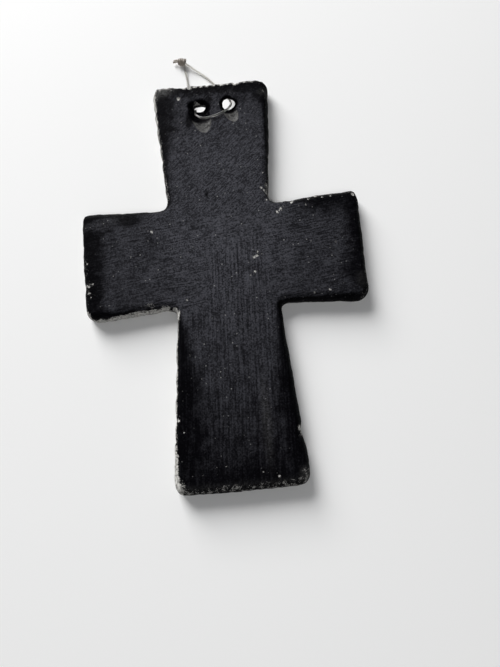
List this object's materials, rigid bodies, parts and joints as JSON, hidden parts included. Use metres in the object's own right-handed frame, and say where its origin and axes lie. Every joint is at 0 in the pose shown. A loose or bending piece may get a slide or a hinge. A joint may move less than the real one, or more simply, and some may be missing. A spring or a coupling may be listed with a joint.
{
  "type": "painted clay cross pendant",
  "caption": "Small hand-made black-painted clay cross with two pierced holes, lying on its back with its tied loop of clear nylon line.",
  "frame": {"origin": "middle of the cross's box, on its flat back, which lies on the table", "axes": "+Z out of the front face, away from the table; +Y along the shaft to the pierced top end; +X to the right arm as the front is seen"},
  "size_m": [0.0476, 0.0785, 0.0035],
  "materials": {
    "painted_clay": "satin",
    "nylon_line": "gloss",
    "knot_nylon": "satin"
  },
  "bodies": {
    "root": {"cross_body": "painted_clay", "hanging_line": "nylon_line", "line_knot": "knot_nylon"}
  },
  "joints": []
}
